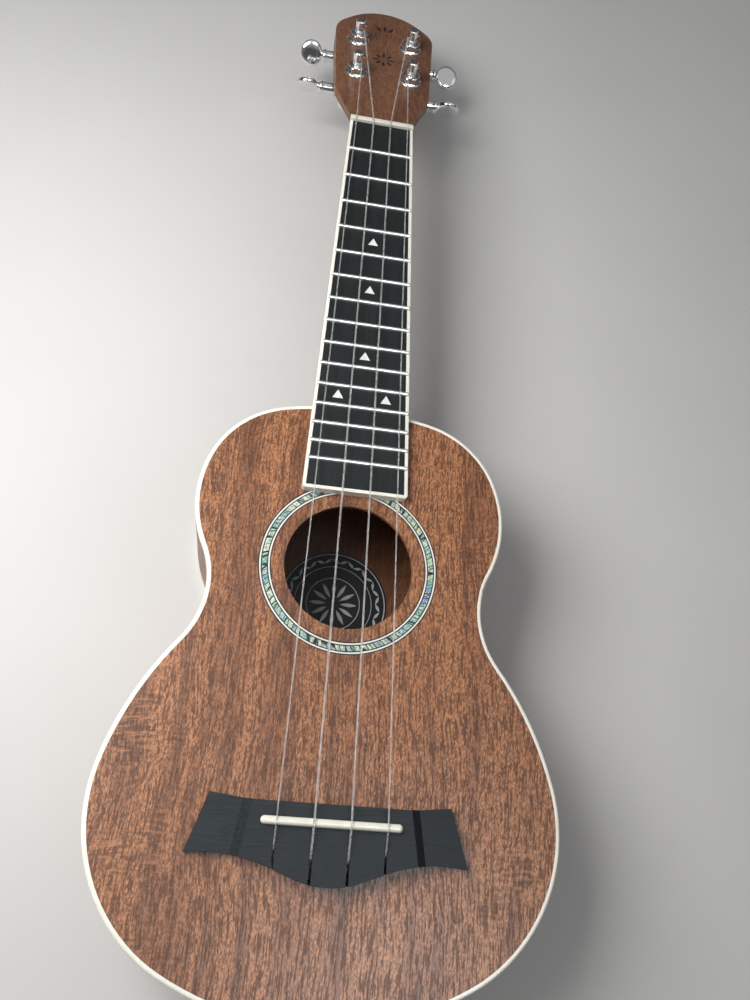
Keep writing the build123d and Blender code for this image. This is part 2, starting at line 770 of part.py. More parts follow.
def make_housing(side, s):
    """Closed box on the back of the headstock, with a sleeve for the worm shaft and a lug."""
    x = side * POST_X
    s_mid = s + (HOUSING_S[0] + HOUSING_S[1]) / 2
    s_long = HOUSING_S[1] - HOUSING_S[0]
    high = HOUSING_H[1] - HOUSING_H[0]
    hollow_x = x + side * (INNER_BEARING - HOUSING_WALL) / 2
    hollow_wide = 2 * HOUSING_HALF_X - HOUSING_WALL - INNER_BEARING
    bore_x = x - side * (HOUSING_HALF_X - HOUSING_WALL / 2)
    with BuildPart() as housing:
        with BuildSketch(face_plane(x, s_mid, HOUSING_H[0])):
            RectangleRounded(2 * HOUSING_HALF_X, s_long, HOUSING_ROUND)
        extrude(amount=high)
        chamfer(housing.faces().sort_by(Axis.Z)[0].edges(), HOUSING_BEVEL)
        with BuildSketch(cross_plane(x, s + WORM_OFFSET, WORM_H)):
            Circle(SLEEVE_R)
        extrude(amount=side * SLEEVE_END)
        with BuildSketch(face_plane(hollow_x, s_mid, HOUSING_H[0] + HOUSING_WALL)):
            Rectangle(hollow_wide, s_long - 2 * HOUSING_WALL)
        extrude(amount=high - 2 * HOUSING_WALL, mode=Mode.SUBTRACT)
        with BuildSketch(cross_plane(bore_x, s + WORM_OFFSET, WORM_H)):
            Circle(SHAFT_R + RUNNING)
        extrude(amount=side * (SLEEVE_END + HOUSING_HALF_X), mode=Mode.SUBTRACT)
        with BuildSketch(face_plane(x, s, HOUSING_H[1])):
            Circle(BUSHING_R)
        extrude(amount=-HOUSING_WALL, mode=Mode.SUBTRACT)
        with BuildSketch(face_plane(x, s, HOUSING_H[0] + HOUSING_WALL)):
            Circle(WAIST_R + RUNNING)
        extrude(amount=-HOUSING_WALL / 2, mode=Mode.SUBTRACT)
        with BuildSketch(face_plane(x, s + HOUSING_S[0] + LUG_ROOT, HOUSING_H[1])):
            Rectangle(LUG_WIDE, LUG_LONG + LUG_ROOT, align=(Align.CENTER, Align.MAX))
            with Locations((0, lug_s - HOUSING_S[0] - LUG_ROOT)):
                Circle(SCREW_R, mode=Mode.SUBTRACT)
        extrude(amount=-LUG_THICK)
    return housing.part


def make_post(side, s):
    """Turned string post, with its waist for the string and a seat for the gear below."""
    x = side * POST_X
    bottom = HOUSING_H[0] + HOUSING_WALL / 2 + END_GAP
    seat_top = -HEAD_THICK - HOUSING_WALL - SEAT_GAP
    profile = [
        (0, bottom),
        (WAIST_R, bottom),
        (WAIST_R, seat_top),
        (POST_R, seat_top),
        (POST_R, hex_top + POST_TAPER[0]),
        (WAIST_R, hex_top + POST_TAPER[1]),
        (WAIST_R, CAP_FLARE[0]),
        (CAP_R, CAP_FLARE[1]),
        (CAP_R, POST_HIGH - CAP_BEVEL),
        (CAP_R - CAP_BEVEL, POST_HIGH),
        (0, POST_HIGH),
    ]
    with BuildPart() as post:
        with BuildSketch(Plane(origin=head_point(x, s, 0), x_dir=(1, 0, 0), z_dir=-head_along)):
            with BuildLine():
                Polyline(*profile, close=True)
            make_face()
        revolve(axis=Axis(head_point(x, s, 0), head_normal))
        with BuildSketch(cross_plane(x, s, STRING_HOLE_H)):
            Circle(STRING_HOLE_R)
        extrude(amount=2 * CAP_R, both=True, mode=Mode.SUBTRACT)
    return post.part


def make_winding(side, s, gauge):
    """Turns of string on the post's waist, and the string's end through the post's hole."""
    x = side * POST_X
    r = gauge / 2
    with BuildPart() as winding:
        with BuildSketch(Plane(origin=head_point(x, s, 0), x_dir=(1, 0, 0), z_dir=-head_along)):
            top = WRAP_H - gauge - RUNNING
            stack = (WRAP_TURNS - 1) * WRAP_PITCH * gauge
            for turn in range(WRAP_TURNS):
                with Locations((WAIST_R + r, top - turn * WRAP_PITCH * gauge)):
                    Circle(r)
            with Locations((WAIST_R, top)):
                Rectangle(WRAP_WEB * r, stack, align=(Align.MIN, Align.MAX))
        revolve(axis=Axis(head_point(x, s, 0), head_normal))
        with BuildSketch(cross_plane(x + STRING_END[0], s, STRING_HOLE_H)):
            Circle(STRING_END_SHARE * r)
        extrude(amount=STRING_END[1] - STRING_END[0])
    return winding.part


def make_gear(side, s):
    """Gear wheel on the post, its tooth gaps slanted by the worm's lead angle."""
    x = side * POST_X
    with BuildPart() as gear:
        with BuildSketch(face_plane(x, s, WORM_H - GEAR_THICK / 2)):
            Circle(gear_pitch_r + tip_rise)
            Circle(WAIST_R, mode=Mode.SUBTRACT)
        extrude(amount=GEAR_THICK)
        half = tooth_pitch * (1 - TOOTH_SHARE) / 2
        for tooth in range(GEAR_TEETH):
            angle = math.radians(90 + tooth * 360 / GEAR_TEETH)
            radial = Vector(1, 0, 0) * math.cos(angle) + head_along * math.sin(angle)
            around = head_along * math.cos(angle) - Vector(1, 0, 0) * math.sin(angle)
            slanted = head_normal * math.cos(lead_angle) + around * math.sin(lead_angle)
            pitch_point = head_point(x, s, WORM_H) + radial * gear_pitch_r
            with BuildSketch(Plane(origin=pitch_point, x_dir=radial, z_dir=slanted)):
                with BuildLine():
                    top = tip_rise + OVERCUT
                    wide = half + top * flank_slope
                    narrow = half - root_fall * flank_slope
                    Polyline(
                        (top, wide),
                        (-root_fall, narrow),
                        (-root_fall, -narrow),
                        (top, -wide),
                        close=True,
                    )
                make_face()
            extrude(amount=GEAR_THICK, both=True, mode=Mode.SUBTRACT)
    return gear.part


def make_worm(side, s):
    """Worm shaft: right-hand thread, core and the stem that carries the button."""
    x = side * POST_X
    worm_s = s + WORM_OFFSET
    # The helix starts above the shaft, and after a whole number of turns its crest crosses
    # the side nearest the gear at the post's own distance across.
    lead_in = (90 - HEAD_TILT) / 360
    start = x - tooth_pitch * (THREAD_TURNS_BEFORE + lead_in)
    with BuildPart() as worm:
        core_low = x - side * (HOUSING_HALF_X - INNER_BEARING - END_GAP)
        core_long = 2 * HOUSING_HALF_X - INNER_BEARING - HOUSING_WALL - 2 * END_GAP
        shaft_low = HOUSING_HALF_X - HOUSING_WALL / 2 - SEAT_GAP
        with BuildSketch(cross_plane(core_low, worm_s, WORM_H)):
            Circle(worm_core_r)
        extrude(amount=side * core_long)
        with BuildSketch(cross_plane(x - side * shaft_low, worm_s, WORM_H)):
            Circle(SHAFT_R)
        extrude(amount=side * (SHAFT_END + shaft_low))
        with BuildLine():
            centre = head_point(start, worm_s, WORM_H)
            path = Helix(tooth_pitch, THREAD_LONG, WORM_PITCH_R, center=centre, direction=(1, 0, 0))
        with BuildSketch(Plane(origin=path @ 0, x_dir=path @ 0 - centre, z_dir=path % 0)):
            with BuildLine():
                half = tooth_pitch * THREAD_SHARE / 2
                low = root_fall + THREAD_SUNK
                narrow = half - tip_rise * flank_slope
                wide = half + low * flank_slope
                Polyline(
                    (tip_rise, narrow),
                    (-low, wide),
                    (-low, -wide),
                    (tip_rise, -narrow),
                    close=True,
                )
            make_face()
        sweep(path=path, is_frenet=True)
    return worm.part


def make_button(side, s, turned):
    """Rounded flat button with its collar, turned about the shaft to its rest angle."""
    x = side * POST_X
    worm_s = s + WORM_OFFSET
    angle = math.radians(turned)
    broad = head_along * math.cos(angle) + head_normal * math.sin(angle)
    middle = head_point(x + side * (COLLAR[1] + BUTTON_LONG / 2 - COLLAR_LAP), worm_s, WORM_H)
    flat = Plane(origin=middle, x_dir=(1, 0, 0), z_dir=Vector(1, 0, 0).cross(broad))
    with BuildPart() as button:
        with BuildSketch(flat):
            Ellipse(BUTTON_LONG / 2, BUTTON_WIDE / 2)
        extrude(amount=BUTTON_THICK / 2, both=True)
        fillet(button.edges().filter_by(GeomType.ELLIPSE), BUTTON_ROUND)
        with BuildSketch(cross_plane(x + side * COLLAR[0], worm_s, WORM_H)):
            Circle(COLLAR_R)
        extrude(amount=side * (COLLAR[1] - COLLAR[0]))
        with BuildSketch(cross_plane(x + side * COLLAR[0], worm_s, WORM_H)):
            Circle(SHAFT_R)
        extrude(amount=side * (SHAFT_END - COLLAR[0]), mode=Mode.SUBTRACT)
    return button.part


gauges = {name: gauge for name, _, gauge in STRINGS}
for name, side, s, turned in TUNERS:
    save(make_housing(side, s), f"tuner_{name}_housing")
    save(make_post(side, s), f"tuner_{name}_post")
    save(make_winding(side, s, gauges[name]), f"string_{name}_winding")
    save(make_gear(side, s), f"tuner_{name}_gear")
    save(make_worm(side, s), f"tuner_{name}_worm")
    save(make_button(side, s, turned), f"tuner_{name}_button")
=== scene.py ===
import json
import math

import bmesh
import bpy
from mathutils import Matrix, Vector


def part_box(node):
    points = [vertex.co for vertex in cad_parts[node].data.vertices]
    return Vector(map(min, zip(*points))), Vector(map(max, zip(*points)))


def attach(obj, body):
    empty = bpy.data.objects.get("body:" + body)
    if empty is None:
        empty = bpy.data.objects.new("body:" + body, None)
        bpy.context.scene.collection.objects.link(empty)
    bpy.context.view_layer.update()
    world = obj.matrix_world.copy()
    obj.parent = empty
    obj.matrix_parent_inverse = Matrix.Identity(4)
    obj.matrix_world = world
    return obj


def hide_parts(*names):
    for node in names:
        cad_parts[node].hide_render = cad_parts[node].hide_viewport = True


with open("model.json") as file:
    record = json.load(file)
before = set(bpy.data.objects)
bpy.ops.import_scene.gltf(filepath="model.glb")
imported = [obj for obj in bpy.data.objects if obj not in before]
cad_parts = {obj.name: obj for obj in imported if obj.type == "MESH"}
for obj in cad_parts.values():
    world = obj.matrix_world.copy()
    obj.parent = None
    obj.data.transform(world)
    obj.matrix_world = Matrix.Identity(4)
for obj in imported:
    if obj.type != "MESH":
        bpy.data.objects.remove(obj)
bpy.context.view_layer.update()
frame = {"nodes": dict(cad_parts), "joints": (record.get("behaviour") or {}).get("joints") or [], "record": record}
nodes = frame["nodes"]

# A soprano ukulele lying on its back: +Y runs up the neck, +Z out of the soundboard.

MM = 0.001


# Places in the frame

def centre(node):
    low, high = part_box(node)
    return (low + high) / 2


def reach(node, direction):
    """The farthest that a node goes along a direction."""
    return max(v.co.dot(direction) for v in nodes[node].data.vertices)


hole = centre("rosette_abalone")

TUNERS = {}
for joint in frame["joints"]:
    name = joint["name"].split("_")[1]
    kind = "post" if joint["name"].endswith("post_turn") else "button"
    TUNERS.setdefault(name, {})[kind] = Vector(joint["pos_m"])
    if kind == "post":
        head_normal = Vector(joint["axis"]).normalized()

ACROSS = Vector((1, 0, 0))
head_along = head_normal.cross(ACROSS)
face_height = reach("headplate", head_normal)
head_top = reach("headplate", head_along)


def head_point(x, back, h):
    """A point by its distance across, back from the headstock's tip and out of its face."""
    return ACROSS * x + head_along * (head_top - back) + head_normal * (face_height + h)


# Mesh making

def new_piece(name, bm, body, material, flat=False, replaced=(), crease=None):
    """Turns a bmesh into a piece that rides on a body, and puts CAD nodes out of sight for it.

    A flat piece keeps the way its faces are wound. Edges sharper than the crease stay sharp.
    """
    if not flat:
        bmesh.ops.recalc_face_normals(bm, faces=bm.faces)
    if crease is not None:
        for edge in bm.edges:
            edge.smooth = not (edge.is_manifold and edge.calc_face_angle() > crease)
    mesh = bpy.data.meshes.new(name)
    bm.to_mesh(mesh)
    bm.free()
    for polygon in mesh.polygons:
        polygon.use_smooth = not flat
    piece = bpy.data.objects.new(name, mesh)
    bpy.context.scene.collection.objects.link(piece)
    piece.data.materials.append(material)
    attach(piece, body)
    if replaced:
        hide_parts(*replaced)


def join_rings(bm, rings, capped=True):
    """Skins closed rings of vertices that have the same count, in order."""
    for first, second in zip(rings, rings[1:]):
        for i in range(len(first)):
            j = (i + 1) % len(first)
            bm.faces.new((first[i], first[j], second[j], second[i]))
    if capped:
        bm.faces.new(rings[0])
        bm.faces.new(rings[-1])


TUBE_SIDES = 12


def sweep(bm, points, radius):
    """A round tube along points, its frame carried from one point to the next."""
    rings = []
    normal = None
    for i, point in enumerate(points):
        before = points[max(i - 1, 0)]
        after = points[min(i + 1, len(points) - 1)]
        heading = (after - before).normalized()
        if normal is None:
            normal = heading.orthogonal().normalized()
        normal = (normal - heading * normal.dot(heading)).normalized()
        other = heading.cross(normal)
        ring = []
        for k in range(TUBE_SIDES):
            angle = 2 * math.pi * k / TUBE_SIDES
            spoke = normal * math.cos(angle) + other * math.sin(angle)
            ring.append(bm.verts.new(point + radius * spoke))
        rings.append(ring)
    join_rings(bm, rings)


# Materials

# Axes that a wood's grain is drawn out along
ALONG_X = (0,)
ALONG_Y = (1,)
ALONG_BOTH = (0, 1)
# Flecks lean this far to either side of the grain, in degrees.
FLECK_SLANT = 20


def set_ramp(node, stops):
    """Gives a colour ramp its stops."""
    elements = node.color_ramp.elements
    while len(elements) < len(stops):
        elements.new(1.0)
    for element, (place, colour) in zip(elements, stops):
        element.position = place
        element.color = (*colour, 1.0)


class Paint:
    """One procedural material. Each call adds a node and gives back the socket to use next."""

    def __init__(self, name, constants=None):
        self.material = bpy.data.materials.new(name)
        self.material.use_nodes = True
        self.nodes = self.material.node_tree.nodes
        self.links = self.material.node_tree.links
        self.shader = self.nodes["Principled BSDF"]
        for socket, value in (constants or {}).items():
            self.shader.inputs[socket].default_value = value

    def put(self, socket, value):
        if isinstance(value, bpy.types.NodeSocket):
            self.links.new(value, socket)
        else:
            socket.default_value = value

    def node(self, kind, settings, values):
        node = self.nodes.new("ShaderNode" + kind)
        for key, value in settings.items():
            setattr(node, key, value)
        for key, value in values.items():
            self.put(node.inputs[key], value)
        return node

    def vector_calc(self, operation, first, second):
        values = {0: first, 1: second}
        return self.node("VectorMath", {"operation": operation}, values).outputs[0]

    def place(self, turn=(0, 0, 0), shift=(0, 0, 0)):
        """Object coordinates in millimetres, after a turn in degrees and a shift in metres."""
        coordinates = self.nodes.new("ShaderNodeTexCoord").outputs["Object"]
        angles = [math.radians(angle) for angle in turn]
        values = {"Vector": coordinates, "Location": shift, "Rotation": angles}
        turned = self.node("Mapping", {}, values).outputs[0]
        return self.stretch(turned, (1 / MM,) * 3)

    def bend(self, vector, scale, amount):
        """Wanders a vector by a slow noise, up to about half the amount each way."""
        noise = self.node("TexNoise", {}, {"Vector": vector, "Scale": scale, "Detail": 1.0})
        centred = self.vector_calc("SUBTRACT", noise.outputs["Color"], (0.5,) * 3)
        return self.vector_calc("ADD", vector, self.stretch(centred, (amount,) * 3))

    def stretch(self, vector, scale):
        return self.vector_calc("MULTIPLY", vector, scale)

    def noise(self, vector, scale, detail=2.0, roughness=0.5):
        """Cloudy noise with its scale per millimetre."""
        values = {"Vector": vector, "Scale": scale, "Detail": detail, "Roughness": roughness}
        return self.node("TexNoise", {}, values).outputs["Fac"]

    def cells(self, vector, scale, output="Color", feature="F1"):
        """Random cells with their scale per millimetre."""
        values = {"Vector": vector, "Scale": scale}
        return self.node("TexVoronoi", {"feature": feature}, values).outputs[output]

    def band(self, value, low, high, start=0.0, end=1.0):
        """Maps low..high to start..end, flat outside."""
        values = {"Value": value, "From Min": low, "From Max": high, "To Min": start, "To Max": end}
        return self.node("MapRange", {"interpolation_type": "SMOOTHSTEP"}, values).outputs["Result"]

    def calc(self, operation, first, second=0.0):
        return self.node("Math", {"operation": operation}, {0: first, 1: second}).outputs[0]

    def product(self, first, *others):
        """The first value times each of the others."""
        for other in others:
            first = self.calc("MULTIPLY", first, other)
        return first

    def parts(self, vector):
        split = self.node("SeparateXYZ", {}, {"Vector": vector})
        return split.outputs["X"], split.outputs["Y"], split.outputs["Z"]

    def mix(self, factor, first, second):
        """The first colour at factor 0 and the second at factor 1."""
        node = self.node("Mix", {"data_type": "RGBA"}, {0: factor})
        for index, value in ((6, first), (7, second)):
            if not isinstance(value, bpy.types.NodeSocket):
                value = (*value, 1.0)
            self.put(node.inputs[index], value)
        return node.outputs[2]

    def ramp(self, value, stops):
        node = self.node("ValToRGB", {}, {"Fac": value})
        set_ramp(node, stops)
        return node.outputs["Color"]

    def bump(self, height, depth, strength):
        """Relief in millimetres of depth."""
        values = {"Height": height, "Distance": depth * MM, "Strength": strength}
        return self.node("Bump", {}, values).outputs["Normal"]

    def finish(self, colour, roughness, normal=None):
        self.put(self.shader.inputs["Base Color"], colour)
        self.put(self.shader.inputs["Roughness"], roughness)
        if normal is not None:
            self.put(self.shader.inputs["Normal"], normal)
        return self.material


def drawn_out(grain, share):
    """Scales along each axis that draw a pattern out along the grain's axes."""
    return [share if axis in grain else 1 for axis in range(3)]


def rippled(p, flat, colour, light, dark, amount):
    """Adds crosswise figure, in patches towards the flanks of the soundboard."""
    wavy = p.noise(p.stretch(flat, (0.2, 1, 1)), 0.75, 3.0, 0.6)
    flanks = p.band(p.calc("ABSOLUTE", p.parts(flat)[0]), 40, 80)
    patches = p.band(p.noise(flat, 0.03, 1.0), 0.4, 0.56)
    share = p.product(flanks, patches, amount)
    colour = p.mix(p.product(share, p.band(wavy, 0.52, 0.62)), colour, dark)
    return p.mix(p.product(share, p.band(wavy, 0.46, 0.38)), colour, light)


def wood(name, grain, light, mid, dark, figure=1.0, ripple=0.0, coat=0.15, pore=0.72):
    """Open-pored wood. Figure, ripple, coat and pore are strengths from 0 up."""
    p = Paint(name, {"Coat Weight": coat, "Coat Roughness": 0.3, "Specular IOR Level": 0.32})

    def dashes(turn, scale):
        slanted = p.stretch(p.place(turn=(0, 0, turn)), drawn_out(grain, 0.36))
        return p.noise(slanted, scale, 3.0, 0.65)

    # Broad ribbons, fine streaks, and long thin pores
    flat = p.bend(p.place(), 0.012, 14.0)
    fibre = p.stretch(flat, drawn_out(grain, 0.04))
    ribbon = p.noise(fibre, 0.09, 2.0, 0.6)
    streak = p.noise(fibre, 0.7, 4.0, 0.7)
    pores = p.band(p.noise(p.stretch(flat, drawn_out(grain, 0.1)), 1.3, 2.0, 0.6), 0.5, 0.57)

    # Short flecks, light at their peaks and dark at their dips
    slant = FLECK_SLANT if grain == ALONG_Y else 0
    fleck = p.calc("ADD", p.product(dashes(slant, 1.6), 0.52), p.product(dashes(-slant, 1.9), 0.48))
    peaks = p.band(fleck, 0.5, 0.56)
    dips = p.band(fleck, 0.48, 0.43)
    strong = p.band(p.band(ribbon, 0.38, 0.6), 0, 1, 0.3, 1.0)

    tone = p.calc("ADD", p.product(ribbon, 0.5 * figure), p.product(streak, 0.6))
    tone = p.calc("SUBTRACT", tone, 0.25 * figure - 0.2)
    colour = p.ramp(tone, ((0.32, dark), (0.5, mid), (0.74, light)))
    colour = p.mix(p.product(peaks, strong, 0.75 * figure), colour, [c * 1.3 for c in light])
    colour = p.mix(p.product(dips, 0.76 * pore), colour, dark)
    colour = p.mix(p.product(pores, pore), colour, dark)
    if ripple:
        colour = rippled(p, flat, colour, light, dark, ripple)
    roughness = p.band(pores, 0, 1, 0.4, 0.58)
    relief = p.calc("SUBTRACT", p.product(fleck, 0.5), pores)
    return p.finish(colour, roughness, p.bump(relief, 0.05, 0.5))


def plastic(name, colour, shade, rough, scatter=0.08):
    """Smooth celluloid or bone: faint cloudy tone and fine scratches."""
    p = Paint(name, {
        "Subsurface Weight": scatter,
        "Subsurface Radius": (0.8, 0.7, 0.5),
        "Subsurface Scale": MM,
    })
    spot = p.place()
    clouds = p.noise(spot, 0.12, 3.0, 0.6)
    fine = p.noise(p.stretch(spot, (1, 0.3, 1)), 2.5, 3.0, 0.6)
    tone = p.calc("ADD", p.product(clouds, 0.7), p.product(fine, 0.3))
    base = p.mix(p.band(tone, 0.3, 0.7), shade, colour)
    roughness = p.band(fine, 0.3, 0.7, rough - 0.06, rough + 0.1)
    return p.finish(base, roughness, p.bump(fine, 0.01, 0.5))


def metal(name, colour, rough, brushed=(1, 1, 1), worn=0.12):
    """Plated metal: hairline scratches, faint stains and slightly duller patches."""
    p = Paint(name, {"Metallic": 1.0})
    spot = p.place()
    lines = p.noise(p.stretch(spot, brushed), 6.0, 4.0, 0.7)
    stains = p.band(p.noise(spot, 0.35, 4.0, 0.6), 0.45, 0.75)
    base = p.mix(p.product(stains, 0.25), colour, [c * 0.7 for c in colour])
    scratched = p.band(lines, 0.35, 0.65, rough, rough + 0.08)
    roughness = p.calc("ADD", scratched, p.product(stains, worn))
    return p.finish(base, roughness, p.bump(lines, 0.004, 0.4))


def blackened(name, grain, colour, shade, rough, gloss):
    """Dark dyed hardwood with fine lighter grain lines, left unlacquered."""
    p = Paint(name, {"Specular IOR Level": gloss})
    flat = p.bend(p.place(), 0.02, 5.0)
    lines = p.noise(p.stretch(flat, drawn_out(grain, 0.03)), 1.1, 5.0, 0.7)
    pores = p.band(p.noise(p.stretch(flat, drawn_out(grain, 0.15)), 2.2, 2.0), 0.58, 0.68)
    base = p.mix(p.band(lines, 0.35, 0.68), shade, colour)
    base = p.mix(p.product(pores, 0.5), base, [c * 0.35 for c in shade])
    roughness = p.band(lines, 0.3, 0.7, rough, rough + 0.12)
    relief = p.calc("SUBTRACT", p.product(lines, 0.4), pores)
    return p.finish(base, roughness, p.bump(relief, 0.015, 0.35))


def abalone(name):
    """Slanted chips of shell round the sound hole, each with its own colour and wavy bands."""
    p = Paint(name, {"Coat Weight": 0.6, "Coat Roughness": 0.08, "Specular IOR Level": 0.7})
    spot = p.place(shift=(-hole.x, -hole.y, 0))
    x, y, _ = p.parts(spot)
    radius = p.calc("SQRT", p.calc("ADD", p.product(x, x), p.product(y, y)))
    around = p.product(p.calc("ARCTAN2", x, y), 35.0)
    slant = p.calc("ADD", around, p.product(radius, 0.45))
    chip = p.node("CombineXYZ", {}, {"X": slant, "Y": p.product(radius, 0.12)}).outputs[0]
    waves = p.bend(p.stretch(spot, (0.8, 0.8, 0.8)), 1.2, 1.5)
    shimmer = p.noise(waves, 1.4, 4.0, 0.65)
    tint = p.parts(p.cells(chip, 0.42))[0]
    pale = p.ramp(tint, (
        (0.0, (0.12, 0.42, 0.32)),
        (0.18, (0.46, 0.72, 0.48)),
        (0.4, (0.74, 0.76, 0.58)),
        (0.55, (0.22, 0.52, 0.46)),
        (0.68, (0.64, 0.76, 0.64)),
        (0.84, (0.20, 0.36, 0.58)),
        (1.0, (0.66, 0.80, 0.64)),
    ))
    base = p.mix(p.band(shimmer, 0.4, 0.7), pale, (0.03, 0.07, 0.07))
    base = p.mix(p.band(p.noise(waves, 2.2, 2.0), 0.54, 0.64), base, (0.80, 0.84, 0.72))
    joints = p.cells(chip, 0.42, "Distance", "DISTANCE_TO_EDGE")
    base = p.mix(p.band(joints, 0.02, 0.08, 1.0, 0.0), base, (0.008, 0.012, 0.012))
    return p.finish(base, p.band(shimmer, 0.3, 0.7, 0.16, 0.32), p.bump(shimmer, 0.01, 0.5))


def nylon(name):
    """Clear monofilament, slightly cloudy."""
    p = Paint(name, {"Transmission Weight": 0.82, "IOR": 1.33, "Specular IOR Level": 0.45})
    fine = p.noise(p.stretch(p.place(), (1, 0.05, 1)), 4.0, 3.0)
    base = p.mix(fine, (0.74, 0.74, 0.73), (0.92, 0.91, 0.88))
    return p.finish(base, p.band(fine, 0.3, 0.7, 0.2, 0.36))


def pearl(name):
    """Mother of pearl with pale swirls."""
    p = Paint(name, {"Coat Weight": 0.5, "Coat Roughness": 0.1})
    swirl = p.noise(p.bend(p.place(), 0.6, 2.0), 0.7, 4.0, 0.6)
    base = p.ramp(swirl, (
        (0.3, (0.62, 0.68, 0.66)),
        (0.5, (0.80, 0.82, 0.80)),
        (0.72, (0.80, 0.74, 0.72)),
    ))
    return p.finish(base, p.band(swirl, 0.3, 0.7, 0.2, 0.34), p.bump(swirl, 0.01, 0.4))


def paper(name, colour):
    """Matt paper or ink with faint fibres."""
    p = Paint(name, {"Specular IOR Level": 0.3})
    fibres = p.noise(p.place(), 1.6, 5.0, 0.7)
    base = p.mix(p.band(fibres, 0.3, 0.7), [c * 0.75 for c in colour], colour)
    return p.finish(base, p.band(fibres, 0.3, 0.7, 0.5, 0.7), p.bump(fibres, 0.02, 0.4))


# Light, middle and dark tone of each wood
TOP_WOOD = ((0.43, 0.190, 0.084), (0.27, 0.112, 0.052), (0.070, 0.024, 0.011))
SIDE_WOOD = ((0.42, 0.21, 0.12), (0.25, 0.115, 0.065), (0.09, 0.036, 0.022))
# The neck's tones are partly painted shade: darker than the side mahogany because the neck and headstock lie
# farther from the light.
NECK_WOOD_PAINTED_SHADE = ((0.30, 0.15, 0.088), (0.19, 0.088, 0.052), (0.08, 0.032, 0.020))
INNER_WOOD = ((0.42, 0.27, 0.16), (0.28, 0.16, 0.09), (0.14, 0.07, 0.04))
# The head veneer's tones are partly painted shade: darkened because the headstock lies farther from the light.
HEAD_VENEER_PAINTED_SHADE = ((0.26, 0.120, 0.061), (0.165, 0.073, 0.039), (0.060, 0.024, 0.013))
# The back plate's tones are partly painted shade: darkened so that the inside of the body, seen through the sound
# hole, looks shaded.
BACK_WOOD_PAINTED_SHADE = ((0.25, 0.112, 0.056), (0.17, 0.070, 0.035), (0.07, 0.025, 0.013))
# Base tone and shade of each dyed wood and of each plastic
BOARD_BLACK = ((0.011, 0.015, 0.017), (0.008, 0.011, 0.012))
BRIDGE_BLACK = ((0.021, 0.028, 0.033), (0.010, 0.015, 0.018))
BINDING = ((0.88, 0.87, 0.80), (0.80, 0.78, 0.69))
LINE_WHITE = ((0.86, 0.86, 0.82), (0.76, 0.76, 0.71))
LINE_BLACK = ((0.006, 0.006, 0.007), (0.01, 0.01, 0.012))
BONE = ((0.84, 0.83, 0.75), (0.74, 0.72, 0.61))
# Plain tones of the metals, the label and what is drawn on label and headstock
FRET_SILVER = (0.90, 0.90, 0.89)
CHROME_SILVER = (0.86, 0.87, 0.88)
BRASS_GOLD = (0.72, 0.52, 0.24)
STEEL_GREY = (0.60, 0.60, 0.60)
LABEL_BLACK = (0.016, 0.019, 0.022)
INK_WHITE = (0.62, 0.64, 0.64)
BURNT_BROWN = (0.022, 0.010, 0.007)

MATERIALS = {
    "mahogany_top": wood("mahogany_top", ALONG_Y, *TOP_WOOD, ripple=0.6, coat=0.14),
    "mahogany": wood("mahogany", ALONG_BOTH, *SIDE_WOOD, figure=0.8),
    "neck_wood": wood("neck_wood", ALONG_Y, *NECK_WOOD_PAINTED_SHADE, figure=0.6),
    "inner_wood": wood("inner_wood", ALONG_Y, *INNER_WOOD, figure=0.5, coat=0.0),
    "binding": plastic("binding", *BINDING, rough=0.3),
    "purfling_white": plastic("purfling_white", *LINE_WHITE, rough=0.34),
    "purfling_black": plastic("purfling_black", *LINE_BLACK, rough=0.4, scatter=0.0),
    "abalone": abalone("abalone"),
    "blackened_wood": blackened("blackened_wood", ALONG_Y, *BOARD_BLACK, rough=0.42, gloss=0.32),
    "bridge_wood": blackened("bridge_wood", ALONG_X, *BRIDGE_BLACK, rough=0.46, gloss=0.2),
    "bone": plastic("bone", *BONE, rough=0.28, scatter=0.12),
    "pearl": pearl("pearl"),
    "fret_metal": metal("fret_metal", FRET_SILVER, rough=0.34, brushed=(0.05, 1, 1), worn=0.06),
    "nylon": nylon("nylon"),
    "label": paper("label", LABEL_BLACK),
    "chrome": metal("chrome", CHROME_SILVER, rough=0.07),
    "brass": metal("brass", BRASS_GOLD, rough=0.25),
    "steel": metal("steel", STEEL_GREY, rough=0.22),
}
NODE_MATERIALS = {
    "headplate": wood("head_veneer_painted_shade", ALONG_Y, *HEAD_VENEER_PAINTED_SHADE, figure=0.6, pore=0.36),
    "back_plate": wood("back_wood_painted_shade", ALONG_Y, *BACK_WOOD_PAINTED_SHADE, figure=0.5, pore=0.4),
}
INK = paper("label_print", INK_WHITE)
BURN = paper("burnt_line", BURNT_BROWN)

for entry in frame["record"]["subparts"]:
    for material_slot in nodes[entry["node"]].material_slots:
        slot_material = MATERIALS[entry["material_slot"]]
        material_slot.material = NODE_MATERIALS.get(entry["node"], slot_material)


# Strings wound on the posts

# Thickness of each string in millimetres
GAUGES = {"g": 0.61, "c": 0.86, "e": 0.81, "a": 0.61}
COIL_STEPS = 48
COIL_INSET = 0.02 * MM
BUSHING_TOP = 4.0 * MM
STRING_RIM = 0.25 * MM
COIL_TURNS = 2.2
# From here on in gauges. The coil starts its drop under the string, clear of it at every angle.
COIL_PITCH = 1.04
COIL_DROP = 1.1
COIL_FOOT = 0.6
TAIL_R = 0.44
TAIL_DROP = 0.45
# Stations of the tail, as shares of its reach to the right of the post's axis.
TAIL_STATIONS = (-0.5, 0.0, 0.5, 0.8, 0.98)


def string_end(name):
    """Middle of the string's end beside its post."""
    rim = reach(f"string_{name}", head_along) - STRING_RIM
    points = [v.co for v in nodes[f"string_{name}"].data.vertices if v.co.dot(head_along) > rim]
    return sum(points, Vector()) / len(points)


